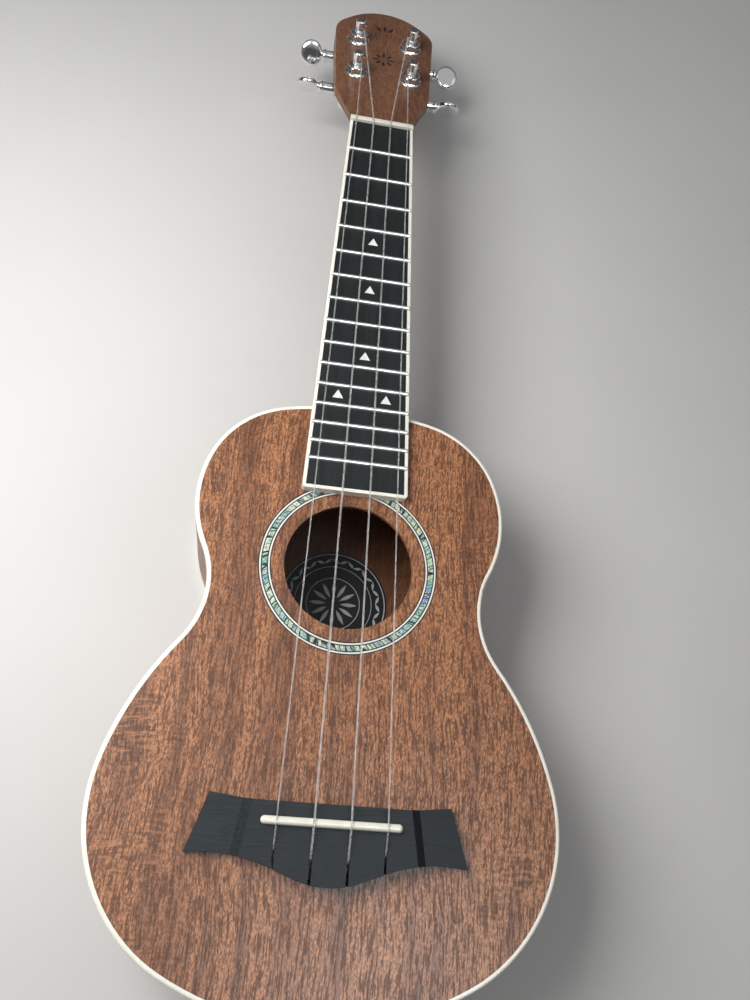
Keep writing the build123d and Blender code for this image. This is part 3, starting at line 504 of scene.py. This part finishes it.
def coil_points(name, post, gauge):
    """A helix that winds down the post from just under the string's end."""
    away = string_end(name) - post
    height = away.dot(head_normal)
    spoke = away - head_normal * height
    spoke -= spoke.normalized() * COIL_INSET
    sense = 1 if post.x < 0 else -1
    start = height - COIL_DROP * gauge
    room = start - BUSHING_TOP - COIL_FOOT * gauge
    turns = min(COIL_TURNS, room / (COIL_PITCH * gauge))
    points = []
    for step in range(int(turns * COIL_STEPS) + 1):
        turn = step / COIL_STEPS
        around = Matrix.Rotation(sense * 2 * math.pi * turn, 3, head_normal)
        rise = head_normal * (start - turn * COIL_PITCH * gauge)
        points.append(post + around @ spoke + rise)
    return points


def tail_points(name, post, gauge):
    """The string's straight end, across the post through its hole."""
    winding = f"string_{name}_winding"
    height = reach(winding, head_normal) - post.dot(head_normal) - TAIL_DROP * gauge
    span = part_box(winding)[1].x - post.x
    return [post + ACROSS * (share * span) + head_normal * height for share in TAIL_STATIONS]


for name, places in TUNERS.items():
    gauge = GAUGES[name] * MM
    wound = bmesh.new()
    sweep(wound, coil_points(name, places["post"], gauge), gauge / 2)
    sweep(wound, tail_points(name, places["post"], gauge), TAIL_R * gauge)
    new_piece(f"wound_string_{name}", wound, f"tuner_{name}_post", MATERIALS["nylon"],
              replaced=(f"string_{name}_winding",))


# Washers and hexagonal bushings, with the soft edges of polished plate

# Radius and height of each ring, in millimetres over the headstock's face.
WASHER_PROFILE = (
    (3.65, 0.0), (6.5, 0.0), (6.48, 0.22), (6.32, 0.42), (6.0, 0.6),
    (5.5, 0.72), (4.9, 0.79), (4.2, 0.8), (3.65, 0.7),
)
# Radius of a limiting circle and height of each ring, from the sleeve's foot round to its bore.
BUSHING_PROFILE = (
    (3.58, -13.2), (3.58, 0.82), (9.0, 0.82), (9.0, 3.2), (5.3, 3.45), (5.05, 3.7),
    (4.7, 3.95), (4.55, 4.0), (3.0, 4.0), (2.75, 3.9), (2.56, 3.7), (2.56, -13.2),
)
HEX_FLAT = 4.75
RING_SIDES = 72
WASHER_CREASE = 0.6
BUSHING_CREASE = 0.4


def lathe(bm, foot, profile, flats=None):
    """A closed ring turned about the post's axis; flats limit it to a hexagon."""
    rings = []
    for radius, height in profile:
        ring = []
        for k in range(RING_SIDES):
            angle = 2 * math.pi * (k + 0.5) / RING_SIDES
            r = radius
            if flats is not None:
                r = min(r, flats / math.cos((angle % (math.pi / 3)) - math.pi / 6))
            spoke = ACROSS * math.cos(angle) + head_along * math.sin(angle)
            ring.append(bm.verts.new(foot + (spoke * r + head_normal * height) * MM))
        rings.append(ring)
    join_rings(bm, rings + rings[:1], capped=False)


washers = bmesh.new()
bushings = bmesh.new()
for places in TUNERS.values():
    lathe(washers, places["post"], WASHER_PROFILE)
    lathe(bushings, places["post"], BUSHING_PROFILE, HEX_FLAT)
new_piece("washers", washers, "instrument", MATERIALS["chrome"],
          replaced=("tuner_washers",), crease=WASHER_CREASE)
new_piece("bushings", bushings, "instrument", MATERIALS["chrome"],
          replaced=("tuner_bushings",), crease=BUSHING_CREASE)


# Tuner buttons: an oval plate that swells out of a round collar

BUTTON_RINGS = 28
BUTTON_SIDES = 40
# Share of the button's length that is collar, and each ring's share along it and of its radius.
COLLAR_SHARE = 0.16
COLLAR_PROFILE = ((0.0, 0.8), (0.02, 0.95), (0.06, 1.0), (0.62, 1.0), (0.8, 0.9), (0.95, 0.76))
COLLAR_R = 3.6 * MM
# The plate is no narrower than this over its first rings.
NECK_R = 2.7 * MM
NECK_RINGS = 7
PLATE_HALF_THICK = 2.2 * MM
# Powers that shape the plate: ring spacing, width, thickness, and squareness of its section.
RING_POWER = 0.92
WIDE_POWER = 0.92
DEEP_POWER = 0.5
SECTION_POWER = 0.7


def rounded(angle, power):
    """A point of a superellipse with half widths of 1."""
    c, s = math.cos(angle), math.sin(angle)
    return math.copysign(abs(c) ** power, c), math.copysign(abs(s) ** power, s)


def button_ring(bm, middle, broad, thick, wide, deep, power=1.0):
    ring = []
    for k in range(BUTTON_SIDES):
        u, v = rounded(2 * math.pi * (k + 0.5) / BUTTON_SIDES, power)
        ring.append(bm.verts.new(middle + broad * (wide * u) + thick * (deep * v)))
    return ring


def button_frame(node, axis_point):
    """Directions across the oval plate's face and through it, and half its size along each."""
    spokes = [v.co - axis_point for v in nodes[node].data.vertices]
    for spoke in spokes:
        spoke.x = 0
    broad = max(spokes, key=lambda spoke: spoke.length)
    half_wide = broad.length
    broad = broad.normalized()
    thick = ACROSS.cross(broad)
    depths = [spoke.dot(thick) for spoke in spokes]
    half_thick = min((max(depths) - min(depths)) / 2, PLATE_HALF_THICK)
    return broad, thick, half_wide, half_thick


for name, places in TUNERS.items():
    node = f"tuner_{name}_button"
    axis_point = places["button"]
    broad, thick, half_wide, half_thick = button_frame(node, axis_point)
    low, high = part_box(node)
    outward = 1 if axis_point.x > 0 else -1
    inner = low.x if outward > 0 else high.x
    long = high.x - low.x
    plate_start = long * COLLAR_SHARE
    half_long = (long - plate_start) / 2
    bm = bmesh.new()
    rings = []
    for share, wide in COLLAR_PROFILE:
        middle = axis_point.copy()
        middle.x = inner + outward * share * plate_start
        rings.append(button_ring(bm, middle, broad, thick, COLLAR_R * wide, COLLAR_R * wide))
    for step in range(1, BUTTON_RINGS):
        theta = math.pi * (step / BUTTON_RINGS) ** RING_POWER
        middle = axis_point.copy()
        middle.x = inner + outward * (plate_start + half_long * (1 - math.cos(theta)))
        wide = half_wide * math.sin(theta) ** WIDE_POWER
        deep = half_thick * math.sin(theta) ** DEEP_POWER
        blend = min(1.0, step / NECK_RINGS)
        if blend < 1:
            wide = max(wide, NECK_R)
            deep = max(deep, NECK_R * (1 - blend) + deep * blend)
        power = 1 - (1 - SECTION_POWER) * blend
        rings.append(button_ring(bm, middle, broad, thick, wide, deep, power))
    join_rings(bm, rings)
    new_piece(f"button_{name}", bm, node, MATERIALS["chrome"], replaced=(node,))


# Label print: rings, a wreath of small leaves and a flower

UP = Vector((0, 0, 1))
RING_STEPS = 128
LEAF_STEPS = 10
INK_LIFT = 0.02 * MM
# Insets from the label's rim: rings by their two edges, leaves by length and width
RIM_RING = (1.3 * MM, 0.8 * MM)
WREATH_RING = (7.6 * MM, 7.3 * MM)
WREATH_INSET = 4.4 * MM
WREATH_LEAVES = 36
WREATH_LEAF = (4.4 * MM, 1.3 * MM)
# Each leaf leans in or out by turns, by this slope.
WREATH_TILT = 0.55
# Radii from the label's middle
FLOWER_RING = (12.6 * MM, 13.0 * MM)
PETAL_R = 7.5 * MM
PETALS = 12
PETAL = (8.0 * MM, 1.8 * MM)


def round_angles(count):
    """Angles of evenly spaced spokes."""
    return [2 * math.pi * k / count for k in range(count)]


def level_spoke(angle):
    return Vector((math.cos(angle), math.sin(angle), 0))


def flat_ring(bm, middle, inner, outer):
    """A level ring that faces up."""
    rows = []
    for radius in (inner, outer):
        spokes = [level_spoke(angle) for angle in round_angles(RING_STEPS)]
        rows.append([bm.verts.new(middle + spoke * radius) for spoke in spokes])
    for k in range(RING_STEPS):
        j = (k + 1) % RING_STEPS
        bm.faces.new((rows[0][k], rows[1][k], rows[1][j], rows[0][j]))


def leaf(bm, middle, along, across, size):
    """A flat pointed leaf, by its length and width. It faces along cross across."""
    long, wide = size

    def edge_point(step, side):
        share = step / LEAF_STEPS
        half = wide * math.sin(math.pi * share) / 2
        return middle + along * (long * (share - 0.5)) + across * (side * half)

    edge = [edge_point(step, -1) for step in range(LEAF_STEPS + 1)]
    edge += [edge_point(step, 1) for step in range(LEAF_STEPS - 1, 0, -1)]
    bm.faces.new([bm.verts.new(point) for point in edge])


label_low, label_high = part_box("sound_hole_label")
label_middle = centre("sound_hole_label")
label_middle.z = label_high.z + INK_LIFT
label_r = (label_high.x - label_low.x) / 2
bm = bmesh.new()
for inner, outer in (RIM_RING, WREATH_RING):
    flat_ring(bm, label_middle, label_r - inner, label_r - outer)
for k, angle in enumerate(round_angles(WREATH_LEAVES)):
    spoke = level_spoke(angle)
    tilt = WREATH_TILT if k % 2 else -WREATH_TILT
    along = (UP.cross(spoke) + spoke * tilt).normalized()
    leaf(bm, label_middle + spoke * (label_r - WREATH_INSET), along, UP.cross(along), WREATH_LEAF)
for angle in round_angles(PETALS):
    spoke = level_spoke(angle)
    leaf(bm, label_middle + spoke * PETAL_R, spoke, UP.cross(spoke), PETAL)
flat_ring(bm, label_middle, *FLOWER_RING)
new_piece("label_print", bm, "instrument", INK, flat=True)


# Headstock ornament: a burnt flower with four blades among the posts, and three crown leaves

ORNAMENT_LIFT = 0.03 * MM
FLOWER_PETALS = 8
FLOWER_R = 4.4 * MM
FLOWER_PETAL = (5.0 * MM, 1.6 * MM)
# Places of the four blades' middles beside the flower's, and their slope.
BLADE_OUT = 11.6 * MM
BLADE_RISE = 1.2 * MM
BLADE_LEAN = 0.22
BLADE = (6.4 * MM, 0.9 * MM)
# Place of the crown's middle leaf behind the headstock's tip, and how the others fan out.
CROWN_BACK = 17 * MM
CROWN_FAN = 0.6
CROWN_STEP = 3.6 * MM
CROWN_SAG = 0.9 * MM
CROWN_LEAF = (6.0 * MM, 2.0 * MM)

posts_along = [TUNERS[name]["post"].dot(head_along) for name in "gc"]
flower_back = head_top - sum(posts_along) / 2
flower_middle = head_point(0, flower_back, ORNAMENT_LIFT)
bm = bmesh.new()
for angle in round_angles(FLOWER_PETALS):
    along = ACROSS * math.cos(angle) + head_along * math.sin(angle)
    across = head_along * math.cos(angle) - ACROSS * math.sin(angle)
    leaf(bm, flower_middle + along * FLOWER_R, along, across, FLOWER_PETAL)
for side in (-1, 1):
    for lift in (-1, 1):
        along = (ACROSS * side + head_along * (BLADE_LEAN * lift)).normalized()
        spot = flower_middle + ACROSS * (side * BLADE_OUT) + head_along * (BLADE_RISE * lift)
        leaf(bm, spot, along, head_normal.cross(along), BLADE)
for k in (-1, 0, 1):
    lean = CROWN_FAN * k
    along = (ACROSS * math.sin(lean) + head_along * math.cos(lean)).normalized()
    spot = head_point(k * CROWN_STEP, CROWN_BACK + abs(k) * CROWN_SAG, ORNAMENT_LIFT)
    leaf(bm, spot, along, head_normal.cross(along), CROWN_LEAF)
new_piece("headplate_ornament", bm, "instrument", BURN, flat=True)


# Camera, at the photograph's viewing angle. Lens and sensor are in millimetres.

CAMERA_PLACE = Vector((-0.0384, -0.01834, 0.39657))
CAMERA_LOOKING = Vector((0.1277, 0.4060, -0.9049)).normalized()
CAMERA_UP = Vector((-0.1177, 0.9121, 0.3927)).normalized()
CAMERA_LENS = 30.91
CAMERA_SENSOR = 36
CAMERA_NEAR = 0.01

camera_data = bpy.data.cameras.new("camera")
camera_data.lens = CAMERA_LENS
camera_data.sensor_width = CAMERA_SENSOR
camera_data.clip_start = CAMERA_NEAR
camera = bpy.data.objects.new("camera", camera_data)
bpy.context.scene.collection.objects.link(camera)
rightward = CAMERA_LOOKING.cross(CAMERA_UP).normalized()
turned = Matrix((rightward, rightward.cross(CAMERA_LOOKING), -CAMERA_LOOKING)).transposed()
camera.matrix_world = Matrix.Translation(CAMERA_PLACE) @ turned.to_4x4()
bpy.context.scene.camera = camera


# Floor and light

FLOOR_HALF = 4.0
FLOOR_DARK = (0.58, 0.58, 0.575)
FLOOR_LIGHT = (0.64, 0.64, 0.635)
FLOOR_ROUGH = 0.75
SKY_STRENGTH = 0.42
# Sky colour by height, from straight down at 0 to straight up at 1.
SKY_STOPS = (
    (0.0, (0.2, 0.2, 0.2)),
    (0.5, (0.8, 0.8, 0.8)),
    (0.62, (0.18, 0.18, 0.19)),
    (0.74, (0.14, 0.14, 0.15)),
    (0.9, (1.0, 1.0, 1.0)),
)


def floor_material():
    p = Paint("floor", {"Specular IOR Level": 0.2})
    clouds = p.noise(p.place(), 0.01, 3.0)
    return p.finish(p.mix(clouds, FLOOR_DARK, FLOOR_LIGHT), FLOOR_ROUGH)


def lamp(name, place, target, size, power, colour=(1, 1, 1)):
    """A square area lamp aimed at a target, all in metres and watts."""
    data = bpy.data.lights.new(name, "AREA")
    data.size = size
    data.energy = power
    data.color = colour
    light = bpy.data.objects.new(name, data)
    bpy.context.scene.collection.objects.link(light)
    light.location = place
    light.rotation_euler = (Vector(target) - Vector(place)).to_track_quat("-Z", "Y").to_euler()
    return light


floor_bm = bmesh.new()
corners = [(-FLOOR_HALF, -FLOOR_HALF), (FLOOR_HALF, -FLOOR_HALF)]
corners += [(-x, -y) for x, y in corners]
floor_bm.faces.new([floor_bm.verts.new((x, y, 0)) for x, y in corners])
floor_mesh = bpy.data.meshes.new("floor")
floor_bm.to_mesh(floor_mesh)
floor_bm.free()
floor = bpy.data.objects.new("floor", floor_mesh)
bpy.context.scene.collection.objects.link(floor)
floor.data.materials.append(floor_material())

lamp("key", place=(-0.30, 0.17, 0.42), target=(-0.02, 0.12, 0.05), size=0.3, power=3.0,
     colour=(1.0, 0.985, 0.96))
lamp("fill", place=(0.9, 0.5, 0.9), target=(0, 0.12, 0.05), size=0.8, power=0.6)
sheen = lamp("sheen", place=(0.22, -0.19, 1.15), target=(0.01, -0.03, 0.05), size=0.36, power=6.0,
             colour=(0.92, 0.96, 1.0))
# The sheen lamp shows only as gloss, and adds no even light.
sheen.visible_diffuse = False

world = bpy.data.worlds.new("studio")
world.use_nodes = True
sky = world.node_tree
direction = sky.nodes.new("ShaderNodeTexCoord")
height_of = sky.nodes.new("ShaderNodeSeparateXYZ")
half = sky.nodes.new("ShaderNodeMapRange")
half.inputs["From Min"].default_value = -1.0
shade = sky.nodes.new("ShaderNodeValToRGB")
set_ramp(shade, SKY_STOPS)
background = sky.nodes["Background"]
background.inputs["Strength"].default_value = SKY_STRENGTH
sky.links.new(direction.outputs["Generated"], height_of.inputs[0])
sky.links.new(height_of.outputs["Z"], half.inputs["Value"])
sky.links.new(half.outputs["Result"], shade.inputs["Fac"])
sky.links.new(shade.outputs["Color"], background.inputs["Color"])
bpy.context.scene.world = world
bpy.context.scene.view_settings.view_transform = "Standard"
